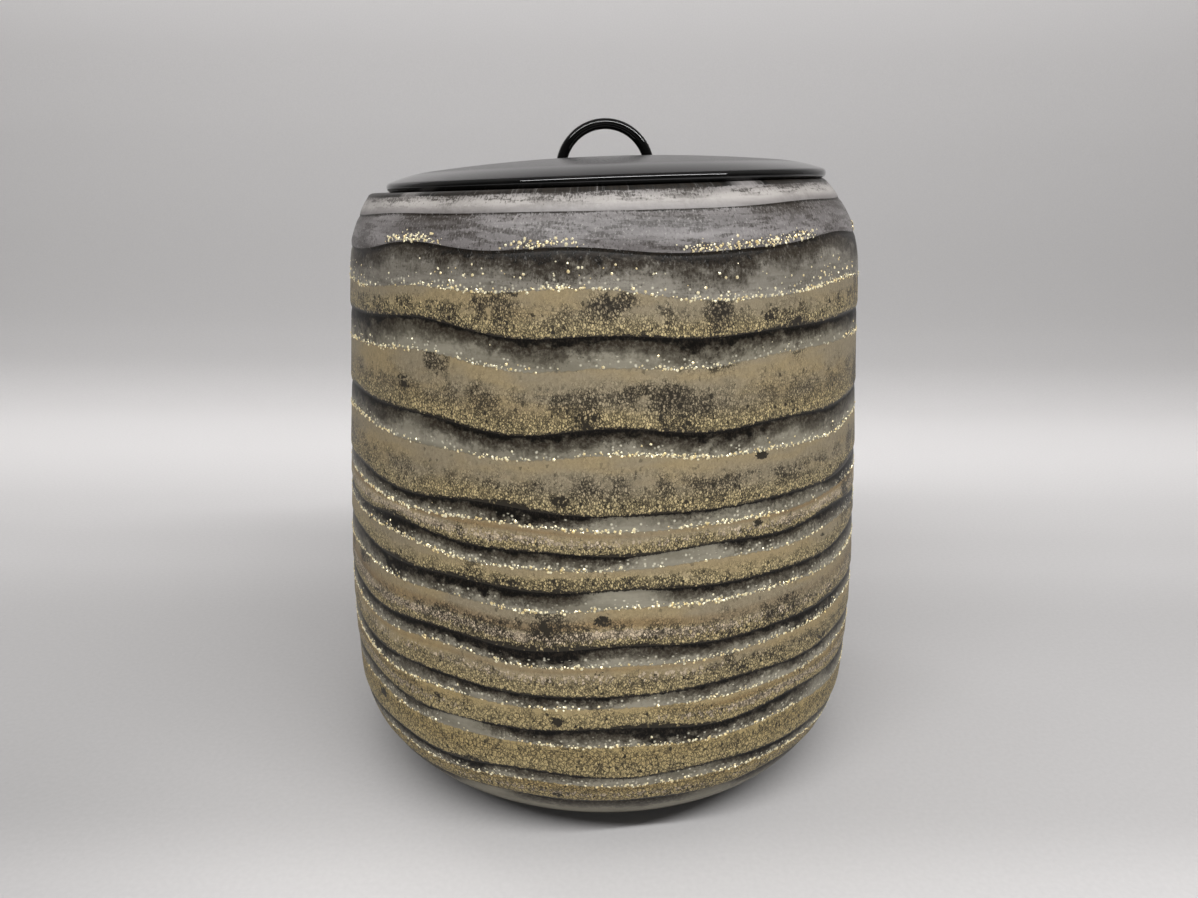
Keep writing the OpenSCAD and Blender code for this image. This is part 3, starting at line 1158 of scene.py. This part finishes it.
    def outer_ring(self, angle: Array, at: Array, proud: Array) -> Array:
        """Gives one ring of the outer wall.

        Args:
            angle: Angles of the columns.
            at: Height of the ring along the wall.
            proud: How far it stands out from the smooth wall, except near the foot and the rim.

        Returns:
            The ring's points.
        """
        section = self.profile.outer
        along = lengths(section)
        slope = along_line(at, along, np.gradient(section, along, axis=0))
        out = np.column_stack([slope[:, 1], -slope[:, 0]]) / np.linalg.norm(slope, axis=1)[:, None]
        top = along[-1] - self.profile.shoulder_r * math.pi / 4
        rise = math.tan(self.rim.slope) * self.profile.rim_d / 2
        hold = smoothstep(at, 2.0, 14.0) * smoothstep(top + rise * np.sin(angle) - at, 0.0, 10.0)
        return self.around(along_line(at, along, section) + (proud * hold)[:, None] * out, angle)

    def foot_rings(self, angle: Array) -> list[Array]:
        """Gives the rings of the flat foot and of the hollow in it."""
        outer, hollow = self.profile.outer[0, 0], self.hollow_d / 2
        ball = (hollow**2 + self.hollow_depth**2) / (2 * self.hollow_depth)
        points = [(radius, 0.0) for radius in (outer - 1.2, (outer + hollow) / 2, hollow)]
        for radius in np.linspace(hollow, 0.0, 8)[1:-1]:
            points.append((radius, self.hollow_depth - ball + math.sqrt(ball**2 - radius**2)))
        return [self.around(np.array(point), angle) for point in points]

    def skin(self, rings: list[Array], zones: list[GlassZone],
             marks: list[tuple[Marks, Marks]]) -> bpy.types.Mesh:
        """Spans the rings with faces, and closes the first and the last ring with a fan.

        Args:
            rings: Rings of points in order.
            zones: Zone of each strip between two rings.
            marks: Marks along both sides of each strip.

        Returns:
            The closed mesh.
        """
        columns = self.columns
        middles = [[0.0, 0.0, self.profile.floor_t], [0.0, 0.0, self.hollow_depth]]
        points = np.concatenate([*rings, middles]) * MM
        here = np.arange(columns)
        beside = (here + 1) % columns
        quads = []
        for upper in range(0, (len(rings) - 1) * columns, columns):
            lower = upper + columns
            quads += np.column_stack([upper + here, lower + here, lower + beside, upper + beside]).tolist()
        first, last, end = len(points) - 2, len(points) - 1, len(points) - 2 - columns
        cap = np.column_stack([np.full(columns, first), here, beside])
        base = np.column_stack([np.full(columns, last), end + beside, end + here])
        faces = [*quads, *cap.tolist(), *base.tolist()]
        mesh = bpy.data.meshes.new("glass_jar")
        mesh.from_pydata(points.tolist(), [], faces)
        mesh.polygons.foreach_set("use_smooth", np.ones(len(faces), bool))
        finish = np.repeat([zone.value for zone in (*zones, GlassZone.INSIDE, GlassZone.FOOT)], columns)
        mesh.polygons.foreach_set("material_index", finish.astype(np.int32))
        blank = np.zeros((columns, 3))
        for name in ("skin_mm", "band_mm", "leaf", "glass", "sparkle"):
            rows = []
            for pair in marks:
                upper, lower = (side.get(name, blank) for side in pair)
                rows.append(np.stack([upper, lower, lower[beside], upper[beside]], axis=1).reshape(-1, 3))
            values = np.concatenate([*rows, np.zeros((6 * columns, 3))])
            mesh.attributes.new(name, "FLOAT_VECTOR", "CORNER").data.foreach_set("vector", values.ravel())
        self.unroll(mesh, rings)
        mesh.validate()
        return mesh

    def unroll(self, mesh: bpy.types.Mesh, rings: list[Array]) -> None:
        """Gives the mesh one flat map: round the jar across it, and from floor to foot down it."""
        section = np.array([[np.hypot(*points[0, :2]), points[0, 2]] for points in rings])
        down = lengths(np.array([[0.0, section[0, 1]], *section, [0.0, section[-1, 1]]]))
        down = 0.005 + 0.99 * down / down[-1]
        left = np.arange(self.columns) / self.columns
        right = left + 1 / self.columns
        middle = (left + right) / 2
        faces = []
        for high, low in zip(down[1:], down[2:-1]):
            faces.append([(left, high), (left, low), (right, low), (right, high)])
        faces.append([(middle, down[0]), (left, down[1]), (right, down[1])])
        faces.append([(middle, down[-1]), (right, down[-2]), (left, down[-2])])
        flat = []
        for corners in faces:
            laid = [np.column_stack([across, np.full(self.columns, at)]) for across, at in corners]
            flat.append(np.stack(laid, axis=1).reshape(-1, 2))
        mesh.uv_layers.new(name="OFBake").data.foreach_set("uv", np.concatenate(flat).ravel())

    def fleck_tree(self) -> TreeSheet:
        """Builds the tree that scatters flecks over the wall where it is marked to sparkle."""
        numbers = dict.fromkeys(("Smallest", "Largest", "Lean"), "Float")
        tree = TreeSheet("scatter_flecks", {"Seed": "Int", **numbers})
        shape = {"Vertices": 5, "Side Segments": 1, "Radius Top": 0.35, "Radius Bottom": 1.0, "Depth": 0.55}
        fleck = tree.first("GeometryNodeMeshCone", shape)
        lean = tree.number("Lean")
        back = lean * -1.0
        low = tree.first("ShaderNodeCombineXYZ", {0: back, 1: back, 2: 0.0})
        high = tree.first("ShaderNodeCombineXYZ", {0: lean, 1: lean, 2: FULL_TURN})
        inputs = {"Seed": 3, "Min": low, "Max": high}
        leaning = tree.first("FunctionNodeRandomValue", inputs, data_type="FLOAT_VECTOR")
        tip = tree.first("FunctionNodeEulerToRotation", {0: leaning})
        small = tree.number("Smallest")
        size = tree.math("POWER", tree.chance(4), 1.7) * (tree.number("Largest") - small) + small
        below, _, grey = tree.parts(tree.mark("band_mm"))
        edge = tree.noise(tree.mark("skin_mm"), 0.9, 3.0, 0.6) * 1.5 - 0.55
        strung = tree.math("LESS_THAN", tree.chance(6), tree.fade(abs(below - grey + edge), 0.1, 0.75))
        joined = tree.add("GeometryNodeJoinGeometry")
        for crowd, kept in zip(tree.parts(tree.mark("sparkle")), (strung, True)):
            inputs = {"Mesh": tree.source["Geometry"], "Density": crowd, "Seed": tree.source["Seed"]}
            strewn = tree.add("GeometryNodeDistributePointsOnFaces", inputs, distribute_method="RANDOM")
            inputs = {0: strewn.outputs["Rotation"], 1: tip}
            turned = tree.first("FunctionNodeRotateRotation", inputs, rotation_space="LOCAL")
            inputs = {"Points": strewn.outputs["Points"], "Selection": kept}
            inputs |= {"Instance": fleck, "Rotation": turned, "Scale": size}
            tree.feed(joined.inputs[0], tree.first("GeometryNodeInstanceOnPoints", inputs))
        tree.close(joined.outputs[0])
        return tree


@dataclass
class LacqueredLid:
    """The turned lid board and its bent arch handle."""

    rim: RimFrame
    lid_shift: float = 2.6
    lid_rad: float = 62.0
    crown_h: float = 7.9
    crown_r: float = 462.0
    fall_r: float = 49.0
    edge_t: float = 2.6
    board_t: float = 6.2
    ring_rad: float = 53.8
    ring_w: float = 5.0
    ring_depth: float = 5.0
    ring_bevel: float = 0.8
    hollow_round: float = 1.6
    segments: int = 256
    crisp_edge_deg: float = 35.0
    handle_w: float = 27.4
    handle_h: float = 10.4
    rod_t: float = 3.0
    rod_w: float = 4.4
    foot_flare: float = 0.12

    def build(self) -> None:
        """Builds the board and the handle, and hands them to the lid's body."""
        lacquer = BlackLacquer().material()
        board = new_piece("lid_board_lacquered", self.section_mesh())
        self.lathe_tree().run(board, {"Segments": self.segments, "Material": lacquer})
        handle = new_piece("lid_handle_lacquered", bpy.data.meshes.new("lid_handle_lacquered"))
        rad = ((self.handle_w / 2) ** 2 + self.handle_h**2) / (2 * self.handle_h)
        values = {
            "Bend": (rad - self.rod_t / 2) * MM,
            "Bend height": (self.crown_h + self.handle_h - rad) * MM,
            "Thickness": self.rod_t * MM,
            "Depth": self.rod_w * MM,
            "Flare": self.foot_flare,
            "Material": lacquer,
        }
        self.arch_tree().run(handle, values)
        for piece, node in ((board, "lid_board"), (handle, "lid_handle")):
            piece.data.transform(self.rim.matrix(self.lid_shift))
            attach(piece, "lid")
            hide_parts(node)
            LOG.info("%s: %d faces", piece.name, len(piece.data.polygons))

    def section(self) -> Array:
        """Gives the board's half section, radius and height, from the crown to the hollow below."""
        edge_r = self.edge_t / 2
        crown_c = np.array([0.0, self.crown_h - self.crown_r])
        edge_c = np.array([self.lid_rad - edge_r, edge_r])
        gap = edge_c - crown_c
        span = float(np.linalg.norm(gap))
        far, near = self.crown_r - self.fall_r, self.fall_r - edge_r
        forward = (span**2 + far**2 - near**2) / (2 * span)
        aside = math.sqrt(far**2 - forward**2)
        ahead = gap / span
        fall_c = crown_c + forward * ahead - aside * np.array([ahead[1], -ahead[0]])
        crown_end, fall_end = angle_of(fall_c - crown_c), angle_of(edge_c - fall_c)
        outer, inner = self.ring_rad, self.ring_rad - self.ring_w
        under, bevel, deep = self.crown_h - self.board_t, self.ring_bevel, -self.ring_depth
        ring = [[outer, 0.0], [outer, deep + bevel], [outer - bevel, deep]]
        ring += [[inner + bevel, deep], [inner, deep + bevel]]
        round_c = np.array([inner, under]) - self.hollow_round
        curves = (
            arc_points(crown_c, self.crown_r, RIGHT_ANGLE, crown_end, 1.5),
            arc_points(fall_c, self.fall_r, crown_end, fall_end, 0.8)[1:],
            arc_points(edge_c, edge_r, fall_end, -RIGHT_ANGLE, 0.2)[1:],
            ring,
            arc_points(round_c, self.hollow_round, 0.0, RIGHT_ANGLE, 0.4),
            [[0.0, under]],
        )
        return np.concatenate(curves)

    def section_mesh(self) -> bpy.types.Mesh:
        """Gives the half section as a mesh of loose points for the lathe."""
        points = [(radius * MM, 0.0, height * MM) for radius, height in self.section()]
        mesh = bpy.data.meshes.new("lid_board_lacquered")
        mesh.from_pydata(points, [], [])
        return mesh

    def lathe_tree(self) -> TreeSheet:
        """Builds the tree that turns a half section round the Z axis into a closed board."""
        tree = TreeSheet("turn_on_lathe", {"Segments": "Int"})
        section, segments = tree.source["Geometry"], tree.number("Segments")
        count = tree.add("GeometryNodeAttributeDomainSize", {"Geometry": section}).outputs["Point Count"]
        grid = tree.first("GeometryNodeMeshGrid", {"Vertices X": segments + 1, "Vertices Y": count})
        index = Value(tree, tree.first("GeometryNodeInputIndex"))
        row = tree.math("FLOORED_MODULO", index, count)
        column = tree.math("FLOOR", (index + 0.5) / Value(tree, count))
        point = tree.add("GeometryNodeSampleIndex", data_type="FLOAT_VECTOR")
        value = next(socket for socket in point.inputs if socket.name == "Value" and socket.enabled)
        tree.feed(value, tree.first("GeometryNodeInputPosition"))
        tree.feed(point.inputs["Geometry"], section)
        tree.feed(point.inputs["Index"], row)
        radius, _, height = tree.parts(next(socket for socket in point.outputs if socket.enabled))
        turn = column / segments * FULL_TURN
        across, back = radius * tree.math("COSINE", turn), radius * tree.math("SINE", turn)
        spun = tree.first("ShaderNodeCombineXYZ", {0: across, 1: back, 2: height})
        board = tree.first("GeometryNodeSetPosition", {"Geometry": grid, "Position": spun})
        board = tree.first("GeometryNodeMergeByDistance", {"Geometry": board, "Distance": 0.001 * MM})
        board = tree.first("GeometryNodeSetShadeSmooth", {"Geometry": board, "Shade Smooth": True})
        angle = tree.add("GeometryNodeInputMeshEdgeAngle").outputs["Unsigned Angle"]
        crisp = tree.math("GREATER_THAN", angle, math.radians(self.crisp_edge_deg))
        inputs = {"Geometry": board, "Selection": crisp, "Shade Smooth": False}
        tree.close(tree.first("GeometryNodeSetShadeSmooth", inputs, domain="EDGE"))
        return tree

    @staticmethod
    def arch_tree() -> TreeSheet:
        """Builds the tree that bends a rounded rod into an arch with slightly spread feet."""
        names = ("Bend", "Bend height", "Thickness", "Depth", "Flare")
        tree = TreeSheet("bend_arch", dict.fromkeys(names, "Float"))
        source = tree.source
        inputs = {"Resolution": 97, "Radius": source["Bend"], "Sweep Angle": math.pi}
        arch = tree.first("GeometryNodeCurveArc", inputs, mode="RADIUS")
        lift = tree.first("ShaderNodeCombineXYZ", {2: source["Bend height"]})
        inputs = {"Geometry": arch, "Translation": lift, "Rotation": (RIGHT_ANGLE, 0.0, 0.0)}
        arch = tree.first("GeometryNodeTransform", inputs)
        along = Value(tree, tree.add("GeometryNodeSplineParameter").outputs["Factor"])
        at_feet = tree.math("POWER", abs(along * 2.0 - 1.0), 9.0)
        swell = at_feet * tree.number("Flare") + 1.0
        arch = tree.first("GeometryNodeSetCurveRadius", {"Curve": arch, "Radius": swell})
        inputs = {"Width": source["Depth"], "Height": source["Thickness"]}
        rod = tree.first("GeometryNodeCurvePrimitiveQuadrilateral", inputs)
        inputs = {"Curve": rod, "Radius": tree.number("Thickness") * 0.499, "Count": 8}
        rod = tree.first("GeometryNodeFilletCurve", inputs, mode="POLY")
        inputs = {"Curve": arch, "Profile Curve": rod, "Fill Caps": True}
        swept = tree.first("GeometryNodeCurveToMesh", inputs)
        tree.close(tree.first("GeometryNodeSetShadeSmooth", {"Geometry": swept, "Shade Smooth": True}))
        return tree


@dataclass(frozen=True)
class Lamp:
    """One soft lamp of the tent, in metres and watts, turned towards a point."""

    name: str
    place: Triple
    aim: Triple
    size: tuple[float, float]
    power: float
    mirrored: bool = True

    def build(self) -> None:
        """Hangs the lamp, which may be kept out of reflections."""
        light = bpy.data.lights.new(self.name, "AREA")
        light.shape = "RECTANGLE"
        light.size, light.size_y = self.size
        light.energy = self.power
        stand = bpy.data.objects.new(self.name, light)
        stand.location = self.place
        stand.rotation_euler = (Vector(self.aim) - Vector(self.place)).to_track_quat("-Z", "Y").to_euler()
        stand.visible_glossy = self.mirrored
        bpy.context.scene.collection.objects.link(stand)


@dataclass
class LightTent:
    """Pale paper sweep, soft lamps and room light, in metres.

    Each painted light level of the paper is a place, back along the floor and then up, and a level there:
    painted light and shade, with a painted pool of light where the sweep bends up.
    """

    width: float = 3.0
    front: float = -1.6
    bend_start: float = 0.42
    bend_r: float = 0.3
    top: float = 1.3
    lamps: tuple[Lamp, ...] = (
        Lamp("key", (0.1, -0.62, 0.92), (0.0, 0.0, 0.1), (1.9, 0.06), 15.3),
        Lamp("fill", (0.16, -1.2, 0.35), (0.0, 0.0, 0.08), (1.6, 0.5), 1.8, mirrored=False),
        Lamp("backdrop", (-0.35, 0.25, 0.8), (-0.25, 0.42, 0.0), (1.8, 0.15), 2.0, mirrored=False),
    )
    painted_light_levels: tuple[tuple[float, float], ...] = (
        (-0.3, 0.64),
        (-0.085, 0.615),
        (-0.062, 0.515),
        (-0.035, 0.495),
        (0.07, 0.485),
        (0.114, 0.555),
        (0.165, 0.6),
        (0.229, 0.705),
        (0.313, 0.835),
        (0.425, 0.8),
        (0.527, 0.61),
        (0.611, 0.53),
        (0.7, 0.5),
        (0.82, 0.515),
        (0.93, 0.556),
        (1.02, 0.615),
        (1.1, 0.7),
    )
    warmth: Triple = (1.0, 0.98, 0.978)
    near_left_shade: float = 0.24
    paper_grain: float = 700.0
    room: Colour = tint(250, 248, 246)
    room_above: float = 0.3
    room_ahead: float = 0.05

    def build(self) -> None:
        """Builds the sweep, the lamps and the room light."""
        sweep = new_piece("paper_sweep", self.sweep_mesh())
        sweep.data.materials.append(self.paper())
        for lamp in self.lamps:
            lamp.build()
        self.light_room()
        LOG.info("light tent: sweep of %d faces, %d lamps", len(sweep.data.polygons), len(self.lamps))

    def light_room(self) -> None:
        """Lights the room evenly, brighter from above than from ahead."""
        world = bpy.data.worlds.new("room")
        world.use_nodes = True
        sheet = NodeSheet(world.node_tree)
        _, back, up = sheet.parts(sheet.add("ShaderNodeTexCoord").outputs["Generated"])
        strength = sheet.spread(sheet.smooth(up + back, -0.2, 0.8), self.room_ahead, self.room_above)
        light = sheet.first("ShaderNodeBackground", {"Color": self.room, "Strength": strength})
        sheet.add("ShaderNodeOutputWorld", {"Surface": light})
        bpy.context.scene.world = world

    def sweep_mesh(self) -> bpy.types.Mesh:
        """Builds the paper that runs along the floor and up behind the jar."""
        bend = arc_points(np.array([self.bend_start, self.bend_r]), self.bend_r, -RIGHT_ANGLE, 0.0, 0.01)
        line = [[self.front, 0.0], *bend.tolist(), [self.bend_start + self.bend_r, self.top]]
        half = self.width / 2
        points = [(side, y, z) for y, z in line for side in (-half, half)]
        faces = [(2 * i, 2 * i + 1, 2 * i + 3, 2 * i + 2) for i in range(len(line) - 1)]
        mesh = bpy.data.meshes.new("paper_sweep")
        mesh.from_pydata(points, [], faces)
        mesh.polygons.foreach_set("use_smooth", np.ones(len(faces), bool))
        return mesh

    def paper(self) -> bpy.types.Material:
        """Builds the paper's colour with painted light and shade along it: palest where it starts to turn up
        behind the jar, and with a painted shadow beside the jar's left.
        """
        sheet = SurfaceSheet("tent_paper", {"Roughness": 0.8, "Specular IOR Level": 0.1})
        place = sheet.add("ShaderNodeTexCoord").outputs["Object"]
        across, back, up = sheet.parts(place)
        ramp = sheet.add("ShaderNodeValToRGB")
        start = self.painted_light_levels[0][0]
        span = self.painted_light_levels[-1][0] - start
        sheet.feed(ramp.inputs[0], (back + up - start) / span)
        ramp.color_ramp.interpolation = "CARDINAL"
        stops = ramp.color_ramp.elements
        while len(stops) < len(self.painted_light_levels):
            stops.new(0.5)
        for stop, (at, level) in zip(stops, self.painted_light_levels):
            stop.position = (at - start) / span
            stop.color = (*(level * share for share in self.warmth), 1.0)
        near_left = sheet.fade(across, -0.18, -0.05) * sheet.fade(back, -0.1, 0.1)
        grain = sheet.spread(sheet.noise(place, self.paper_grain, 3.0), 0.94, 1.06)
        level = grain * (1.0 - near_left * self.near_left_shade)
        sheet.show("Base Color", sheet.mix(1.0, ramp.outputs[0], sheet.shade(level), "MULTIPLY"))
        return sheet.material


@dataclass(frozen=True)
class Viewpoint:
    """Where the photograph was taken from, in metres and degrees."""

    place: Triple = (-0.00105, -0.2812, 0.1704)
    pitch_deg: float = 15.95
    roll_deg: float = 0.4
    focal_px: float = 935.0
    sensor_mm: float = 36.0
    clip_start: float = 0.01

    def build(self) -> None:
        """Sets up the camera."""
        camera = bpy.data.cameras.new("camera")
        camera.sensor_width = self.sensor_mm
        camera.lens = self.focal_px * self.sensor_mm / PHOTO_WIDTH_PX
        camera.clip_start = self.clip_start
        stand = bpy.data.objects.new("camera", camera)
        look = Matrix.Rotation(math.radians(90.0 - self.pitch_deg), 4, "X")
        roll = Matrix.Rotation(math.radians(self.roll_deg), 4, "Z")
        stand.matrix_world = Matrix.Translation(self.place) @ look @ roll
        bpy.context.scene.collection.objects.link(stand)
        bpy.context.scene.camera = stand


def main() -> None:
    """Builds the jar, its lid, the light tent and the camera."""
    logging.basicConfig(level=logging.INFO, format="%(message)s")
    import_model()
    bpy.context.scene.view_settings.view_transform = "Standard"
    rim = RimFrame()
    GlassJar(BlownProfile(), rim, BandLayout()).build()
    LacqueredLid(rim).build()
    LightTent().build()
    Viewpoint().build()


if __name__ == "__main__":
    main()
